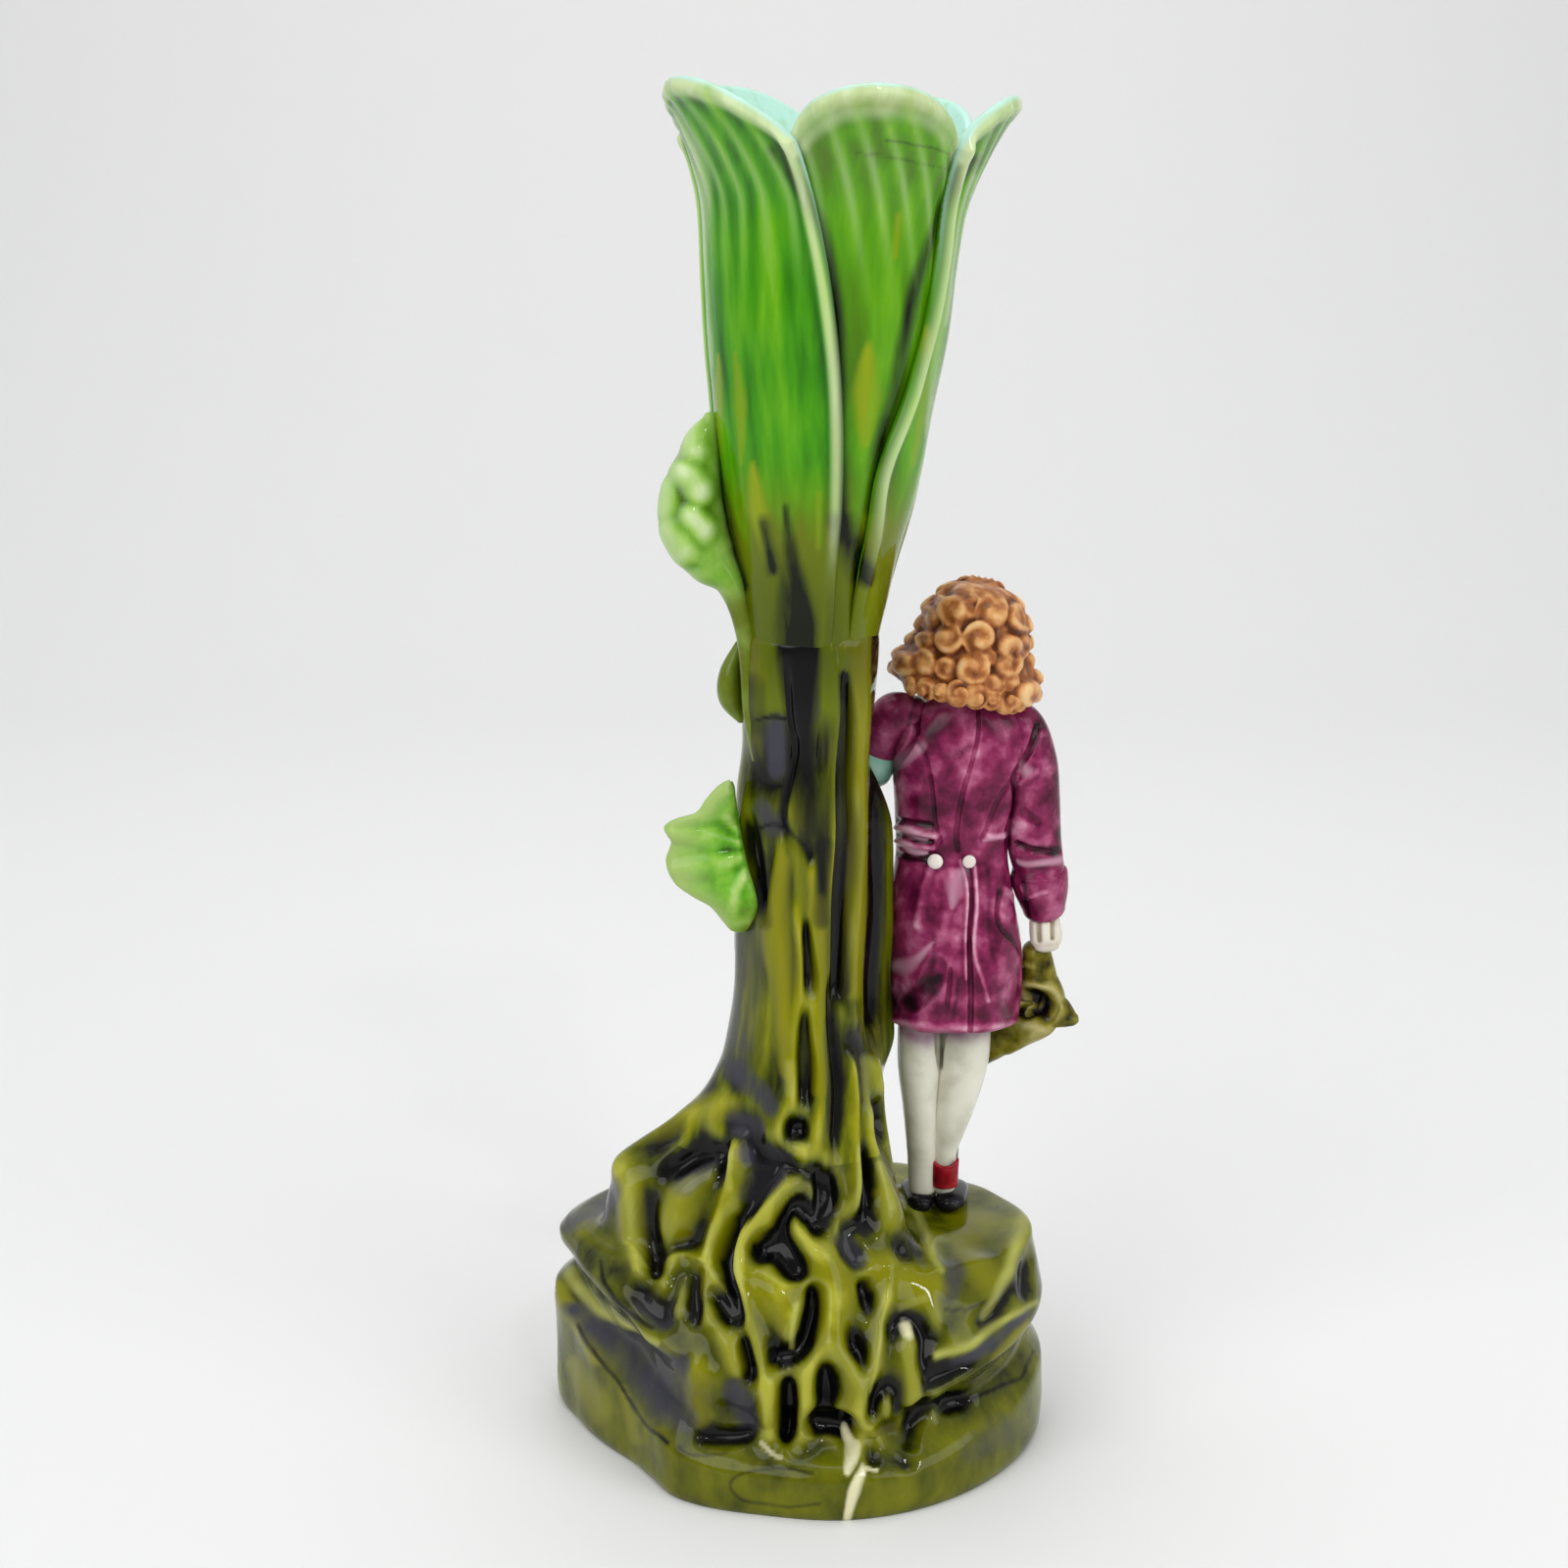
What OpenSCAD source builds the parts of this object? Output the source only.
// Spill vase: a hollow tree trunk with a flower mouth, and a figure in a frock coat standing beside it.
// Millimetres, +Z up. X runs to the right of the photograph and Y runs away from its camera, so the
// figure faces +Y. The origin is under the middle of the whole piece's box, on the table.
// Bearings are degrees in plan from +X, so 270 is the side that the photograph shows.

/* [Base] */
// Middle of the foot along X
foot_x = -2.5; // [-6:0.5:2]
// Half length of the foot, out to its far left corner
foot_half = 36.4; // [34.6:0.2:40]
// Level of the seat that the trunk and the figure stand on
seat_z = 29.5; // [26:0.5:33]
// Width of the unglazed foot rim
rim_width = 6; // [4:0.5:9]
// Depth of the hollow under the foot
under_depth = 3; // [1.5:0.5:4]
// Depth of the groove between the lower wall and the ledge
groove_depth = 3; // [2:0.25:4]
// Rounding of the plinth's edges
edge_round = 1; // [0.6:0.1:1.4]

/* [Trunk] */
// Radius of the trunk at half height
trunk_r = 9; // [8:0.25:10]
// Wall between the well and the bark, apart from the bark's furrows
trunk_wall = 3; // [2:0.25:4]
// Level of the foot of the well's straight wall
well_floor = 50; // [44:1:70]
// Depth of the slope round the floor of the well
well_slope = 3; // [1:0.5:4]
// Height of the neck that the petals close round
neck_h = 7.4; // [6:0.2:9]
// Wall of the neck
neck_wall = 1.7; // [1.4:0.1:2]
// Height of the trunk above the seat
trunk_h = 90.5; // [80:0.5:100]
// Reach of the left buttress root beyond the trunk
buttress_reach = 13; // [9:0.5:14]
// Length of the leaf on the trunk
leaf_l = 20; // [16:0.5:24]

/* [Flower] */
// Lean of the flower to the right, in degrees
flower_lean = 2.9; // [0:0.1:5]
// Height of the petal tips above the trunk
flower_h = 68.5; // [60:0.5:76]
// Depth of the dips between petal tips
petal_dip = 7; // [4:0.5:9]
// Thickness of a petal
petal_wall = 1.6; // [1.2:0.1:2]
// Thickness of the flower lining
lining_wall = 1.3; // [1:0.1:1.6]
// Rise of the side petals' edges over the front petal
petal_edge = 1.1; // [0.5:0.1:1.6]

/* [Figure] */
// Height of the figure from sole to wig
figure_h = 93.5; // [88:0.5:97]
// Middle of the figure from front to back
figure_y = 8; // [7:0.5:9]
// Space between the trunk's side and the coat
figure_space = 0.5; // [0.4:0.1:2]

/* [Joints] */
// Slip layer between luted pieces
lute = 0.2; // [0.15:0.05:0.4]
// Slip layer under pieces laid on a modelled surface
lay = 0.4; // [0.35:0.05:0.6]

/* [Hidden] */
trunk_top = seat_z + trunk_h;
well_r = trunk_r - trunk_wall;
neck_r = well_r + neck_wall;
// Each part's size against the size that its curves are drawn at
thick = trunk_r / 9;
tall = trunk_h / 90.5;
bloom = flower_h / 68.5;
leaf = leaf_l / 20;
fig = figure_h / 93.5;
well_x = -0.8 * thick;
coat_half = 10 * fig;
figure_x = trunk_r + 0.5 * thick + coat_half + figure_space;
// How far the left arm follows the trunk's far side
arm_out = (trunk_r - 9) / fig;
// Degrees in a radian
turn = 180 / PI;
olive = [0.42, 0.42, 0.08];
leaf_green = [0.28, 0.52, 0.1];
pale_green = [0.6, 0.72, 0.42];
turquoise = [0.5, 0.75, 0.68];
plum = [0.4, 0.12, 0.26];
cream = [0.86, 0.85, 0.74];
black = [0.05, 0.05, 0.06];
red = [0.6, 0.05, 0.08];
caramel = [0.66, 0.42, 0.2];
flesh = [0.9, 0.78, 0.68];

// Number helpers
function mix(a, b, t) = a + (b - a) * t;
function bell(x) = exp(-x * x);
function apart(a, b) = abs((a - b + 900) % 360 - 180);
function unit(v) = v / norm(v);
function sum(v) = [for (x = v) 1] * v;

// Smooth value at x of the curve through [x, value] keys in rising order of x
function through(keys, x) =
    let (n = len(keys) - 1,
         at = [for (i = [0:n - 1]) if (keys[i][0] <= x) i],
         i = len(at) == 0 ? 0 : at[len(at) - 1],
         a = keys[max(i - 1, 0)], b = keys[i], c = keys[i + 1], d = keys[min(i + 2, n)],
         w = c[0] - b[0], t = min(1, max(0, (x - b[0]) / w)),
         m = (c[1] - a[1]) / (c[0] - a[0]) * w, k = (d[1] - b[1]) / (d[0] - b[0]) * w)
    (1 + 2 * t) * (1 - t) * (1 - t) * b[1] + t * (1 - t) * (1 - t) * m
    + t * t * (3 - 2 * t) * c[1] + t * t * (t - 1) * k;

// The same, for keys given round a full turn of bearings
function around(keys, bearing) = through(
    [for (lap = [-360, 0, 360]) each [for (k = keys) [k[0] + lap, k[1]]]], (bearing + 720) % 360);

// Points of a smooth path through the given points, with some steps in each span
function bend(p, steps) = let (n = len(p) - 1)
    [for (i = [0:n - 1], s = [0:steps - (i == n - 1 ? 0 : 1)])
        let (t = s / steps, a = p[max(i - 1, 0)], b = p[i], c = p[i + 1], d = p[min(i + 2, n)])
        0.5 * (2 * b + (c - a) * t + (2 * a - 5 * b + 4 * c - d) * t * t
            + (3 * b - a - 3 * c + d) * t * t * t)];

// Closed ring of points round p, square to direction d, with half sizes r
function hoop(p, d, r, n, side) =
    let (w = unit(d), u = unit(cross(side, w)), v = cross(w, u))
    [for (j = [0:n - 1]) p + r[0] * cos(360 * j / n) * u + r[1] * sin(360 * j / n) * v];

// Rings along a path whose points are [x, y, z, half size, half size]
function pipe(path, n, side = [0, 1, 0]) = let (last = len(path) - 1, at = [for (p = path) [p[0], p[1], p[2]]])
    [for (i = [0:last])
        hoop(at[i], at[min(i + 1, last)] - at[max(i - 1, 0)], [path[i][3], path[i][4]], n, side)];

function middle(ring) = [for (p = ring) 1] * ring / len(ring);

// Solid skin over a list of rings that turn anticlockwise seen from the last one
module skin(rings) {
    n = len(rings[0]);
    m = len(rings);
    walls = [for (i = [0:m - 2], j = [0:n - 1])
        let (a = i * n + j, b = i * n + (j + 1) % n) each [[a, a + n, b + n], [a, b + n, b]]];
    ends = [for (j = [0:n - 1]) let (k = (j + 1) % n)
        each [[m * n, j, k], [m * n + 1, (m - 1) * n + k, (m - 1) * n + j]]];
    polyhedron([for (r = rings) each r, middle(rings[0]), middle(rings[m - 1])], concat(walls, ends),
        convexity = 8);
}

// Solid sheet between two grids of points, each a list of rows
module sheet(inner, outer) {
    rows = len(inner) - 1;
    skin([for (i = [0:rows]) [each inner[i], each [for (j = [len(outer[i]) - 1:-1:0]) outer[i][j]]]]);
}

// Foot outline, as bearing and radius from the middle of the foot
function foot_r(b) = foot_half * around([[0, 0.985], [30, 0.95], [60, 0.893], [90, 0.852], [120, 0.893],
    [150, 0.989], [168, 1], [184, 0.879], [209, 0.764], [222, 0.769], [236, 0.819], [262, 0.819], [284, 0.868],
    [325, 0.925]], b);
// Top of the lower wall
function lip_z(b) = seat_z * around([[0, 0.43], [45, 0.48], [90, 0.5], [130, 0.6], [168, 0.66], [184, 0.58],
    [209, 0.42], [236, 0.28], [270, 0.26], [300, 0.25], [325, 0.32]], b);
// Edge of the upper ledge: level, then radius as a share of the foot
function ledge_z(b) = seat_z * around([[0, 0.72], [90, 0.84], [168, 0.9], [209, 0.82], [240, 0.62],
    [270, 0.45], [300, 0.48], [325, 0.62]], b);
function ledge_r(b) = foot_r(b) * around([[0, 1.0], [90, 0.97], [168, 0.98], [209, 1.03], [236, 0.93],
    [270, 0.88], [300, 0.9], [330, 0.99]], b);
// Edge of the flat seat, as a share of the foot, and never inside the foot of the trunk
function seat_r(b) = max(trunk_side(b, seat_z) + 0.8 * edge_round, foot_r(b) * around([[0, 0.93], [45, 0.92],
    [90, 0.86], [168, 0.9], [184, 0.94], [209, 0.88], [236, 0.64], [300, 0.6], [325, 0.74]], b));
// Outer face of the plinth at a bearing, as [level, radius] from the table up
function plinth_face(b) = let (r = foot_r(b), lip = lip_z(b), edge = ledge_z(b), top = ledge_r(b),
        rim = seat_r(b), hollow = min(r, top) - groove_depth, e = edge_round)
    [[0, r - 0.6 * e], [e, r], [lip - 1.2 * e, r], [lip, r - 0.9 * e], [mix(lip, edge, 0.35), hollow],
     [mix(lip, edge, 0.7), mix(hollow, top, 0.35)], [edge - 0.7 * e, top - 0.3 * e],
     [edge + 0.5 * e, top - 0.2 * e], [mix(edge, seat_z, 0.55), mix(top, rim, 0.4)],
     [seat_z - 0.5 * e, rim + 0.5 * e], [seat_z, rim - 0.4 * e]];
function plinth_at(b, r, z) = [foot_x + r * cos(b), r * sin(b), z];

module plinth() {
    turns = [for (j = [0:47]) j * 7.5];
    face = [for (b = turns) plinth_face(b)];
    color(olive) skin([
        [for (b = turns) plinth_at(b, foot_r(b) - rim_width - under_depth, under_depth)],
        [for (b = turns) plinth_at(b, foot_r(b) - rim_width, 0)],
        each [for (k = [0:10]) [for (j = [0:47]) plinth_at(turns[j], face[j][k][1], face[j][k][0])]]]);
}

// Trunk: middle line, bare radius, root lobes near the seat, and the rib that the figure leans on
function trunk_up(z) = (z - seat_z) / tall;
function trunk_x(z) = thick * through([[0, -2.2], [40, -1.9], [70, -1.2], [90.5, -0.4]], trunk_up(z));
function bare_r(z) = thick * through([[0, 15], [6.5, 13.8], [15.5, 12.5], [22.5, 11.7], [29, 10.2], [38, 9.2],
    [65, 9.2], [72, 8.8], [82.5, 8.8]], trunk_up(z));
function lobe_r(b, z) = let (h = trunk_up(z))
    buttress_reach * bell(apart(b, 180) / 27) * through([[0, 1], [6, 1.02], [10.5, 0.95], [13.5, 0.74],
        [17, 0.38], [22, 0.1], [26, 0]], h)
    + thick * (5.5 * bell(apart(b, 268) / 48) + 4.5 * bell(apart(b, 322) / 20) + 4 * bell(apart(b, 95) / 34))
        * through([[0, 1], [8, 0.5], [16, 0.14], [26, 0]], h);
function rib_r(b, z) = thick * (4 * bell(apart(b, 27) / 15)
    * through([[0, 0], [20, 0.1], [28, 1], [58, 1], [70, 0]], trunk_up(z)) + 0.45 * cos(8 * b + 30));
// Bark ribs and furrows: keys of [height over the seat, bearing], half width in degrees, and rise
bark_lines = [
    [[[26, 321], [45, 321], [60, 319], [78, 322]], 8, 1.3],
    [[[28, 284], [38, 290], [46, 299], [54, 298], [66, 292], [80, 291]], 6, 1.1],
    [[[33, 252], [44, 248], [56, 254]], 7, 1],
    [[[26, 261], [36, 267], [48, 268]], 6, 1],
    [[[38, 302], [50, 308], [64, 305], [80, 306]], 6, -1],
    [[[25, 272], [34, 277], [44, 280]], 6, -1],
    [[[30, 58], [80, 62]], 8, 1.1],
    [[[30, 78], [80, 79]], 7, -0.9],
    [[[30, 97], [80, 94]], 8, 1],
    [[[30, 116], [80, 115]], 7, -0.9],
    [[[30, 136], [80, 138]], 8, 1.1]];
function bark_r(b, z) = let (h = trunk_up(z)) thick * sum([for (line = bark_lines)
    let (k = line[0], low = k[0][0], high = k[len(k) - 1][0])
    line[2] * bell(apart(b, through(k, h)) / line[1])
        * through([[low - 5, 0], [low, 1], [high, 1], [high + 5, 0]], h)]);
function trunk_side(b, z) = bare_r(z) + lobe_r(b, z) + rib_r(b, z) + bark_r(b, z);
function trunk_at(b, r, z) = [trunk_x(z) + r * cos(b), r * sin(b), z];

module trunk() {
    turns = [for (j = [0:59]) j * 6];
    levels = [lute, each tall * [3.5, 7.5, 11, 14, 17, 21, 25, 29, 34, 42, 52, 60, 68, 76],
        trunk_h - neck_h - 1.2 * thick];
    color(olive) difference() {
        skin([each [for (h = levels) [for (b = turns) trunk_at(b, trunk_side(b, seat_z + h), seat_z + h)]],
            [for (b = turns) trunk_at(b, neck_r, trunk_top - neck_h)],
            [for (b = turns) trunk_at(b, neck_r, trunk_top)]]);
        translate([well_x, 0, well_floor]) cylinder(r = well_r, h = trunk_top - well_floor + 1, $fn = 64);
        translate([well_x, 0, well_floor - well_slope])
            cylinder(r1 = well_r - well_slope, r2 = well_r, h = well_slope, $fn = 64);
    }
}

// Radius from the trunk's middle of what lies under a root strand, easing off the edge of the seat
function ground_r(b, z) = z > seat_z
    ? max(trunk_side(b, z), min(seat_r(b), trunk_side(b, seat_z) + 1.5 * edge_round) - 0.9 * (z - seat_z))
    : lookup(z, plinth_face(b)) + (foot_x - trunk_x(z)) * cos(b) + lay;
function root_z(up) = seat_z + up * (up > 0 ? tall : seat_z / 29.5);
// A strand laid over the trunk's foot and the plinth: keys of bearing and height over the seat
module root_strand(keys, half_width, height) {
    path = bend([for (k = keys) [k[0], root_z(k[1])]], 3);
    last = len(path) - 1;
    section = [for (a = [0:45:180]) [cos(a), sin(a)]];
    skin([for (i = [0:last]) let (b = path[i][0], z = path[i][1], r = ground_r(b, z) + lay,
            taper = thick * (0.35 + 0.65 * sqrt(sin(180 * (i + 0.5) / (last + 1)))),
            w = half_width * taper * turn / r)
        [for (s = section) trunk_at(b + w * s[0], ground_r(b + w * s[0], z) + lay + height * taper * s[1], z),
         trunk_at(b, r, z)]]);
}
module root_strands() {
    color(olive) {
        // front, from left to right
        root_strand([[206, 1], [199, 3.5], [192, 7], [186, 11]], 1.7, 1.7);
        root_strand([[226, 1], [227, 5], [230, 9], [228, 16]], 1.6, 1.6);
        root_strand([[262, -20], [259, -9], [251, -1], [245, 3], [254, 10], [268, 14]], 1.8, 1.9);
        root_strand([[273, -20], [271, -12], [269, -6], [266, 0]], 1.6, 1.4);
        root_strand([[291, -20], [288, -13], [282, -6], [284, 0], [278, 5], [270, 8]], 2, 1.7);
        root_strand([[299, -13], [299, -8], [303, -2], [307, 3]], 1.2, 1.2);
        root_strand([[309, -16], [310, -9], [314, -4]], 1.2, 1.3);
        root_strand([[297, 7], [303, 12], [305, 21], [308, 29]], 1.2, 1.1);
        root_strand([[317, 1], [317, 8], [320, 14], [321, 24]], 1.4, 1.2);
        root_strand([[335, 1], [340, 6], [349, 12], [356, 19]], 1.3, 1.2);
        // back
        root_strand([[70, 1], [67, 7], [63, 16]], 1.6, 1.6);
        root_strand([[98, 1], [97, 5], [95, 10], [94, 18]], 2, 1.8);
        root_strand([[136, 1], [134, 5], [130, 10], [127, 18]], 2, 1.8);
    }
}

// Flower, drawn along its own axis from the top of the trunk
module on_flower() translate([trunk_x(trunk_top), 0, trunk_top]) rotate([0, flower_lean, 0]) children();
function flower_r(h) = through([[-6, 8.9], [5, 10.5], [16, 13], [36, 15.8], [48, 16.8], [55, 17.7], [62, 20.4],
    [68.5, 24]], h / bloom) * (neck_r + petal_wall) / 9.3;
lining_top = flower_h - petal_dip - edge_round;
module flower_lining() {
    foot = lute + neck_r * sin(flower_lean);
    levels = [for (s = [0, 0.1, 0.2, 0.3, 0.42, 0.55, 0.68, 0.8, 0.9, 1]) mix(foot, lining_top, s)];
    outside = [for (h = levels) [flower_r(h) - petal_wall - lay, h]];
    inside = [for (i = [len(levels) - 1:-1:0]) [outside[i][0] - lining_wall, levels[i]]];
    color(turquoise) on_flower() rotate_extrude($fn = 96) polygon([each outside, each inside]);
}

// Petals meet at five edges, each given as [height, bearing] from the throat to the rim
petal_edges = [
    [[-7, 288], [11, 285], [29, 279], [45, 269], [66, 250]],
    [[-7, 304], [11, 303], [20, 303], [32, 316], [48, 324], [66, 316]],
    [[-7, 380], [30, 384], [66, 384]],
    [[-7, 450], [66, 452]],
    [[-7, 520], [30, 522], [66, 524]],
    [[-7, 648], [11, 645], [29, 639], [45, 629], [66, 610]]];
function petal_at(b, r, h) = [r * cos(b), r * sin(b), h];
// One petal from edge number k to the next; left_rise and right_rise lift its sides over the neighbour
module petal(k, left_rise, right_rise) {
    rows = 12;
    cols = 8;
    gap = lay * turn / flower_r(flower_h / 3);
    function spot(i, j) = let (s = j / cols, t = i / rows, side = abs(2 * s - 1),
            low = 2.8 * bloom * pow(side, 1.5) - neck_h + 3 * lute,
            h = mix(low, flower_h - petal_dip * pow(side, 2.2), t),
            left = through(petal_edges[k], h / bloom) + gap,
            right = through(petal_edges[k + 1], h / bloom) - gap,
            rise = left_rise * bell(s * 7) + right_rise * bell((1 - s) * 7))
        [mix(left, right, s), h, max(flower_r(h) - petal_wall, neck_r + 2 * lay),
            petal_wall * (1 - 0.35 * pow(t, 6)) + petal_edge * sin(180 * min(1, t * 1.05)) * rise];
    grid = [for (i = [0:rows]) [for (j = [0:cols]) spot(i, j)]];
    color(leaf_green) on_flower() sheet([for (row = grid) [for (p = row) petal_at(p[0], p[2] + p[3], p[1])]],
        [for (row = grid) [for (p = row) petal_at(p[0], p[2], p[1])]]);
}
module petal_front() petal(0, 0, 0);
module petal_right() petal(1, 1, 0.3);
module petal_back_right() petal(2, 0, 0.5);
module petal_back_left() petal(3, 0, 0);
module petal_left() petal(4, 0.3, 1);

// Buds and leaf on the left: points off the bark, and off the petals, at a bearing and a level
function on_bark(b, z, out) = trunk_at(b, trunk_side(b, z) + lay + out, z);
function on_petal(b, h, out) = [trunk_x(trunk_top) + h * sin(flower_lean) + (flower_r(h) + lay + out) * cos(b),
    (flower_r(h) + lay + out) * sin(b), trunk_top + h];
// Keys of a bud: bearing, height from the top of the trunk, distance off the surface, and two half sizes
function bud_path(keys) = bend([for (k = keys) [each k[1] < -5
    ? on_bark(k[0], trunk_top + k[1] * bloom, k[2] * bloom) : on_petal(k[0], k[1] * bloom, k[2] * bloom),
    k[3] * bloom, k[4] * bloom]], 2);
module flower_bud() color(pale_green) skin(pipe(bud_path([[206, -17, 0.5, 0.5, 0.6], [204, -11, 1.3, 0.8, 0.9],
    [200, -2, 2.3, 1.2, 1.4], [194, 3.5, 2.6, 2, 2.2], [189, 7, 4.2, 3.5, 3.6], [187, 11.5, 5.2, 4.5, 4.5],
    [187, 17, 4.2, 3.6, 3.6], [187, 22, 2.4, 2.1, 2.3], [187, 25.5, 1, 0.7, 0.8]]), 12));
module stem_bud() color(pale_green) skin(pipe(bud_path([[180, -15, 0.7, 0.5, 0.6], [180, -12, 1.6, 1.4, 1.7],
    [180, -9, 1.5, 1.3, 1.6], [180, -5.5, 0.7, 0.5, 0.6]]), 10));
module trunk_leaf() {
    z = seat_z + 55 * tall;
    function edge(v) = through([[-10, 1.2], [-6, 4.5], [-3, 9], [1, 9.6], [4, 10.8], [6, 9], [8, 4],
        [10.5, 1.4]], v);
    rows = 12;
    grid = [for (i = [0:rows]) let (v = -9.5 + 20 * i / rows, root = on_bark(208, z + leaf * v, 0.9 * leaf))
        [for (s = [0:0.2:1]) root + leaf * [-edge(v) * s, -1.6 * sin(150 * s), 0.6 * s]]];
    color(pale_green) sheet([for (row = grid) [for (p = row) p + [0, 1.4 * leaf, 0]]], grid);
}

// Stump behind the legs, with a side tip and a knot-hole towards the front of the photograph
module on_figure() translate([figure_x, figure_y, seat_z]) scale(fig) children();
module stump_branch() {
    color(olive) on_figure() difference() {
        union() {
            skin(pipe(bend([[-0.5, 8.8, lute, 2.6, 2.6], [-0.2, 8.6, 10, 2.3, 2.3], [1.2, 7.4, 18.6, 2.4, 2.4],
                [7.2, 4.4, 24, 2, 2], [13.1, 2.2, 29.6, 3.3, 3.3], [12.7, 2.2, 34.8, 2.5, 2.4],
                [12.3, 2.2, 38.8, 2, 2]], 2), 14));
            skin(pipe(bend([[12.9, 2.2, 30.2, 2.8, 2.8], [15.6, 1.4, 29.6, 2.5, 2.5],
                [18.1, 0.8, 28.6, 1, 1]], 2), 12));
        }
        translate([12.6, -0.6, 31]) rotate([90, 0, 0])
            cylinder(r1 = 1, r2 = 2.3, h = 3, center = true, $fn = 48);
    }
}

// Legs that touch from the knee up, shoes and heel; a shoe's wide is its half width behind the toes
module leg(keys) color(cream) on_figure() skin(pipe(bend(keys, 2), 14));
module left_leg() leg([[-4.5, -0.9, 3.4, 1.3, 1.9], [-4.6, -0.9, 9, 1.5, 2.2], [-4.8, -0.8, 16, 2, 3],
    [-4.9, -0.7, 23.5, 2.85, 3.4], [-4.9, -0.7, 31.4, 2.9, 3.5]]);
module right_leg() leg([[-0.7, -0.6, 3.4, 1.5, 1.6], [-0.7, -0.6, 8.6, 1.6, 1.7], [-0.2, -0.5, 12, 2.3, 2.4],
    [0.6, -0.3, 16.5, 3.1, 3], [1.9, 0, 23.5, 3.7, 3.5], [1.9, 0, 31.4, 3.7, 3.5]]);
module shoe(heel, toe, wide) color(black) on_figure() skin(pipe(bend([
    [each heel, 1.5, 0.65 * wide, 1], [each mix(heel, toe, 0.15), 1.7, 0.95 * wide, 1.45],
    [each mix(heel, toe, 0.6), 1.6, wide, 1.4], [each mix(heel, toe, 0.9), 1.35, 0.9 * wide, 1.1],
    [each toe, 1.2, 0.45 * wide, 0.7]], 2), 12, [0, 0, -1]));
module left_shoe() shoe([-4.2, -3.5], [-4.9, 6], 1.75);
module right_shoe() shoe([-0.1, -3.4], [1.2, 6], 2.2);
// Red back of the right shoe, round the ankle
module red_heel() color(red) on_figure() translate([-0.7, -0.55, 3.8]) rotate([0, 0, 215])
    rotate_extrude(angle = 120, $fn = 64) translate([1.8 + lute, 0]) square([0.6, 4.6]);

// Coat: middle, half width and half depth by height
function coat_x(h) = through([[27, 0], [36, 0.4], [54.5, -0.4], [67.5, 0.6], [77.5, 1.4]], h);
function coat_w(h) = through([[27, 9.3], [36, 9.4], [42, 9.4], [49, 8.7], [54.5, 8], [61, 8.6], [67.5, 9.4],
    [72.5, 9], [75.6, 6.4], [77, 4]], h);
function coat_d(h) = through([[27, 8], [36, 8.2], [42, 7.5], [49, 6.5], [54.5, 5.6], [61, 6], [67.5, 6.2],
    [72.5, 5.3], [75.6, 4.3], [77, 3.6]], h);
// Point on the coat at a bearing and height, moved out by a distance
function coat_at(b, h, out = 0) = let (c = cos(b), s = sin(b),
        r = pow(pow(abs(c) / (coat_w(h) + out), 2.3) + pow(abs(s) / (coat_d(h) + out), 2.3), -1 / 2.3)
            + 0.35 * bell((h - 34) / 10) * cos(6 * b))
    [coat_x(h) + r * c, r * s, h];
module coat() {
    turns = [for (j = [0:35]) j * 10];
    color(plum) on_figure() {
        skin([[for (b = turns) coat_at(b, 32, -1.1)], [for (b = turns) coat_at(b, 30, -0.9)],
            each [for (h = [29.6, 31.5, 34, 38, 43, 48, 52, 54.5, 57, 61, 65, 69, 72.5, 74.6, 76, 76.8])
                [for (b = turns) coat_at(b, h)]]]);
        skin(pipe(bend([[5.8, 0.3, 73.8, 2.3, 2.8], [9.1, 0.3, 72.2, 3.4, 3.6], [10.6, 0.3, 67.5, 3.8, 4],
            [11, 0.3, 62, 3.95, 4], [11.3, 0.4, 56, 3.8, 3.8], [12.1, 0.6, 52.3, 3.4, 3.3]], 2), 16));
        skin(pipe(bend([[-5.4, 0.3, 74.2, 2.6, 3], [-8.5, 0.7, 73.6, 3.4, 3.5],
            [-10, 1.4 + arm_out / 2, 70.8, 3.3, 3.2], [-10.6, 1.9 + arm_out, 68.8, 2.8, 2.8]], 2), 16));
    }
}
module right_cuff() color(plum) on_figure() skin(pipe(bend([
    [12.2, 0.7, 51.1, 3.6, 3.7], [12.3, 0.75, 50.5, 4, 4.1], [12.7, 0.9, 48, 3.7, 3.9],
    [13.1, 1, 45.6, 3.1, 3.3]], 2), 16));
module left_cuff() color(turquoise) on_figure() translate([0, arm_out, 0]) skin(pipe(bend([
    [-11.05, 2.25, 67.8, 2.6, 2.6], [-11.3, 2.35, 67.2, 3.1, 3.1], [-11.95, 2.6, 65.6, 3.3, 3.3]], 2), 16));
module right_hand() color(flesh) on_figure() skin(pipe(bend([
    [12.95, 1, 45.3, 1.6, 1.8], [13.2, 0.8, 43.6, 2.2, 2], [13.5, 0.4, 41, 2.3, 1.7],
    [13.6, 0.2, 39.9, 1.8, 1.2]], 2), 12));
module left_hand() color(flesh) on_figure() translate([0, arm_out, 0]) skin(pipe(bend([
    [-12.4, 2.7, 64.7, 1.4, 1.4], [-13.2, 2.5, 63.6, 2.1, 1.5], [-14.8, 2.4, 61.8, 2.1, 1.1],
    [-16.6, 2.9, 60.2, 1.2, 0.7]], 2), 12));

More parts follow.
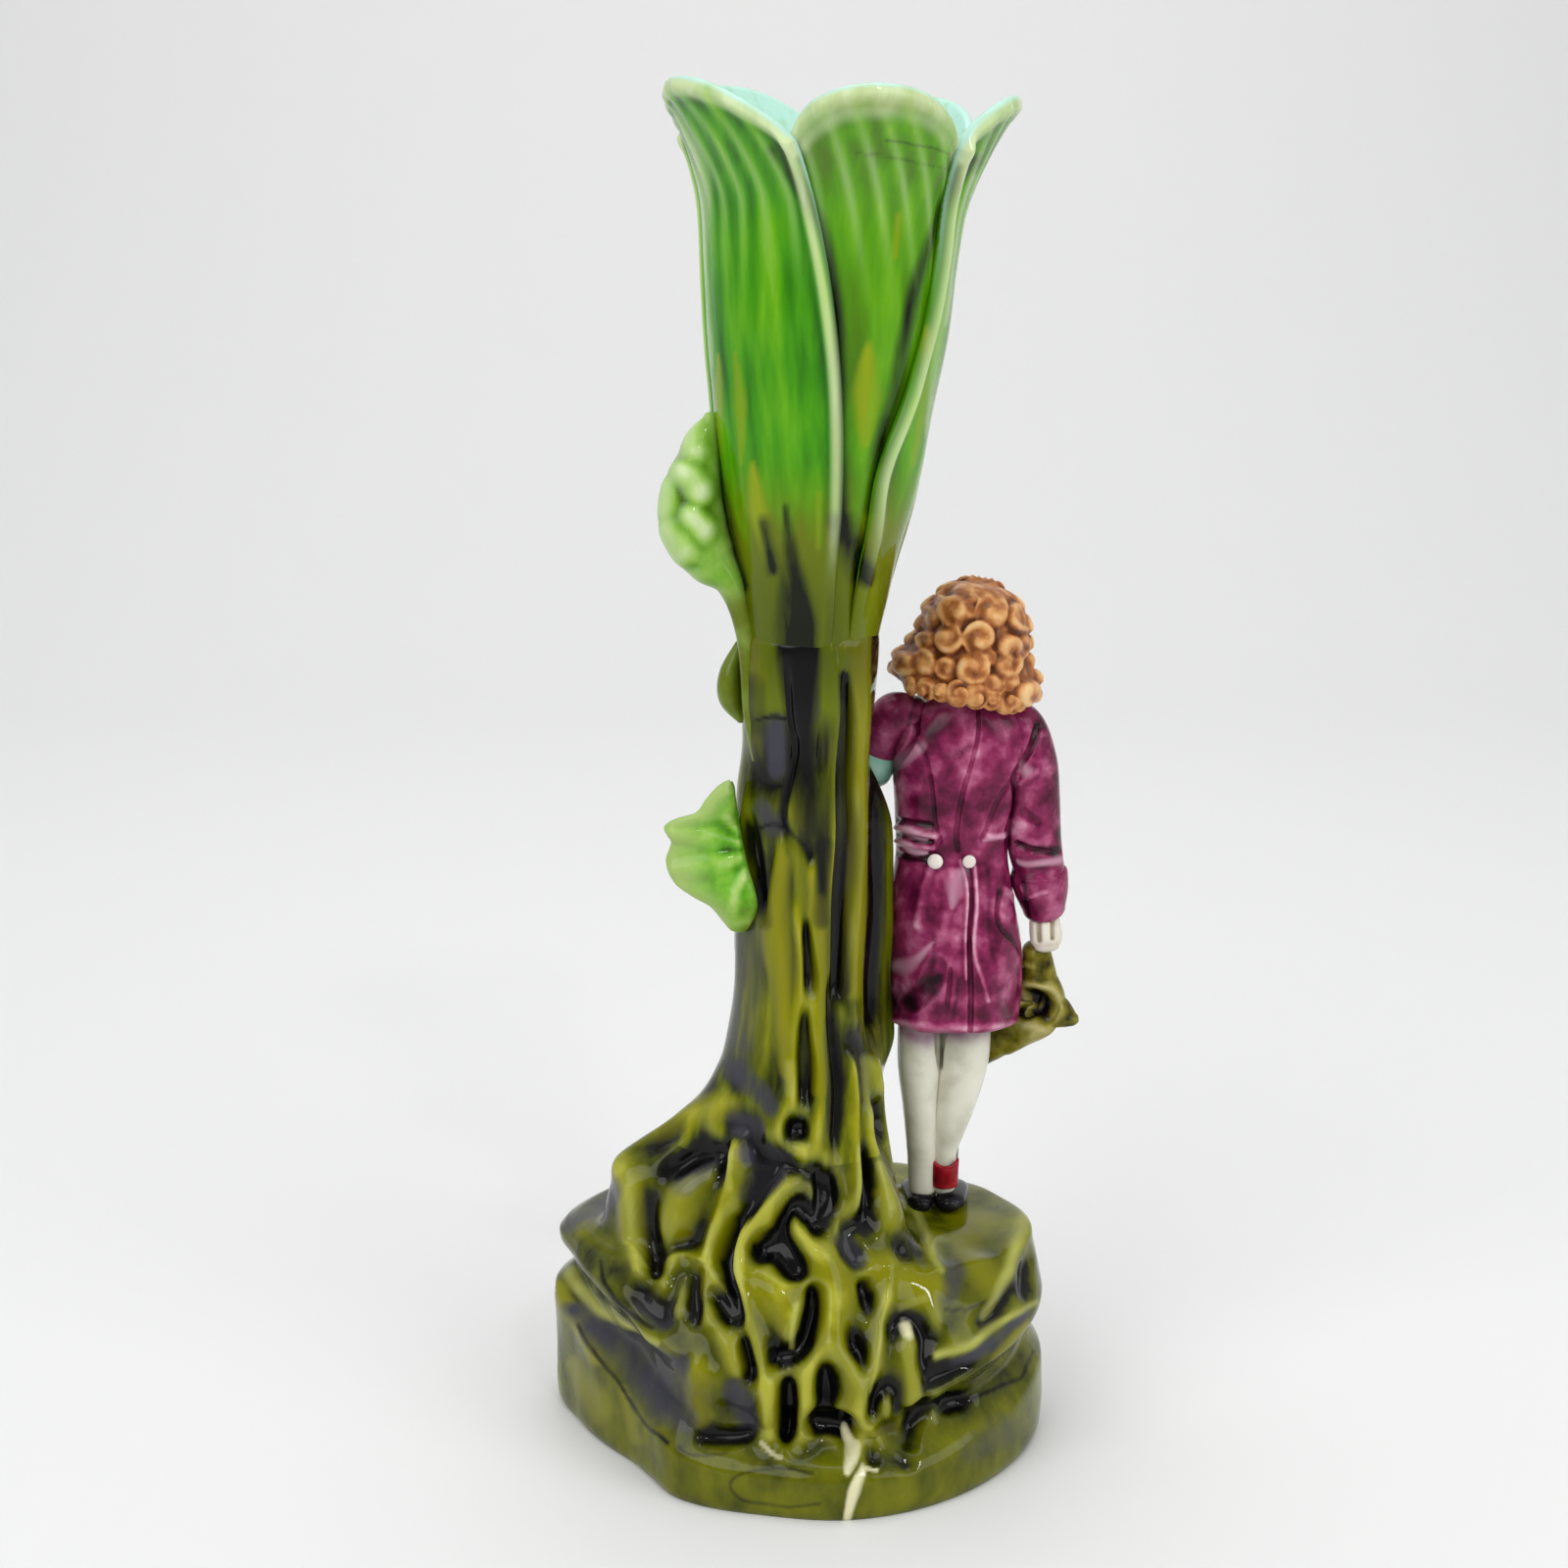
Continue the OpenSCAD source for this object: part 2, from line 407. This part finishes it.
// Panels and buttons laid on the coat
module coat_panel(low, high, half, thick) {
    grid = [for (i = [0:8]) let (h = mix(low, high, i / 8)) [for (s = [-1:0.25:1])
        [90 - s * through(half, h), h]]];
    on_figure() sheet([for (row = grid) [for (p = row) coat_at(p[0], p[1], lay + thick)]],
        [for (row = grid) [for (p = row) coat_at(p[0], p[1], lay)]]);
}
module waistcoat() color(turquoise) coat_panel(36, 70, [[36, 12], [50, 24], [62, 26], [70, 20]], 0.9);
module neckcloth() color(cream) on_figure() skin(pipe(bend([
    [0.6, 8.5, 64, 0.9, 0.5], [0.7, 8.7, 67.5, 2.4, 0.8], [0.9, 8.2, 71, 1.8, 0.9],
    [1.1, 7, 73.6, 1.5, 0.8]], 2), 12));
module coat_button(b, h, r, out = 0) on_figure() translate(coat_at(b, h, out + lay))
    rotate([90, 0, b + 90]) cylinder(r = r, h = 0.8, $fn = 48);
module back_buttons() color(cream) for (b = [246, 290]) coat_button(b, 54.3, 1);
module front_buttons() color(cream) for (h = [40:5:55]) coat_button(90, h, 0.7, lay + 1.1);

// Head and wig, on an axis that tips to the right
module on_head() on_figure() translate([1.8, 1, 82.2]) rotate([0, 10, 0]) children();
function head_w(h) = through([[-5.4, 2.9], [-4.6, 3.2], [-3.8, 4.2], [-2.4, 5.2], [0, 5.9], [4, 6.2],
    [6.4, 5.4], [8, 3.6], [8.8, 1.4]], h);
function head_d(h) = through([[-5.4, 2.9], [-4.6, 3.6], [-3.8, 5.2], [-2.4, 6.5], [0, 7.1], [4, 7.4],
    [6.4, 6.4], [8, 4.2], [8.8, 1.7]], h);
function head_at(b, h) = let (nose = 1.5 * bell(apart(b, 90) / 12) * bell((h - 0.9) / 1.5))
    [head_w(h) * cos(b), (head_d(h) + nose) * sin(b) + 0.7 * bell((h + 3) / 2), h];
module head() {
    turns = [for (j = [0:23]) j * 15];
    levels = [-4.8, -4.4, -3.9, -3.1, -2.1, -0.8, 0.6, 2, 3.6, 5.2, 6.8, 7.9, 8.6];
    color(flesh) on_head() skin([for (h = levels) [for (b = turns) head_at(b, h)]]);
}
// The wig's lower edge rises from the nape to the brow
function wig_low(b) = through([[0, 5.6], [40, 5], [62, -4.2], [95, -4.7], [135, -5.8], [180, -4.9]],
    apart(b, 90));
function wig_out(b, h) = let (low = bell((h - wig_low(b) - 2) / 5),
        side = bell(apart(b, 0) / 45) + bell(apart(b, 180) / 45))
    1.3 + 0.6 * low + 2.6 * low * side * bell((h + 3) / 5)
    + 0.7 * pow(abs(sin(b * 6 + (floor((h + 10) / 4.5) % 2) * 90) * cos((h + 10) * 40)), 0.7);
module wig() {
    turns = [for (j = [0:47]) j * 7.5];
    rows = 9;
    function level(b, i) = mix(wig_low(b), 8.7, pow(i / rows, 0.85));
    // The wig hangs straight down from the widest part of the head
    function lift(b, h, out) = let (p = head_at(b, min(max(h, 2.6), 8.6)))
        [p[0], p[1], min(h, 8.6)] + out * unit([p[0], p[1] * 0.9, max(0, p[2] - 2.6)]);
    color(caramel) on_head() skin([
        each [for (i = [rows, 7, 4, 2, 0]) [for (b = turns) lift(b, level(b, i), lay + 0.15 * i / rows)]],
        each [for (i = [0:rows]) [for (b = turns) lift(b, level(b, i), lay + wig_out(b, level(b, i)))]]]);
}

plinth();
trunk();
root_strands();
flower_lining();
petal_front();
petal_right();
petal_back_right();
petal_back_left();
petal_left();
flower_bud();
stem_bud();
trunk_leaf();
stump_branch();
left_leg();
right_leg();
left_shoe();
right_shoe();
red_heel();
coat();
left_cuff();
right_cuff();
left_hand();
right_hand();
waistcoat();
neckcloth();
back_buttons();
front_buttons();
head();
wig();
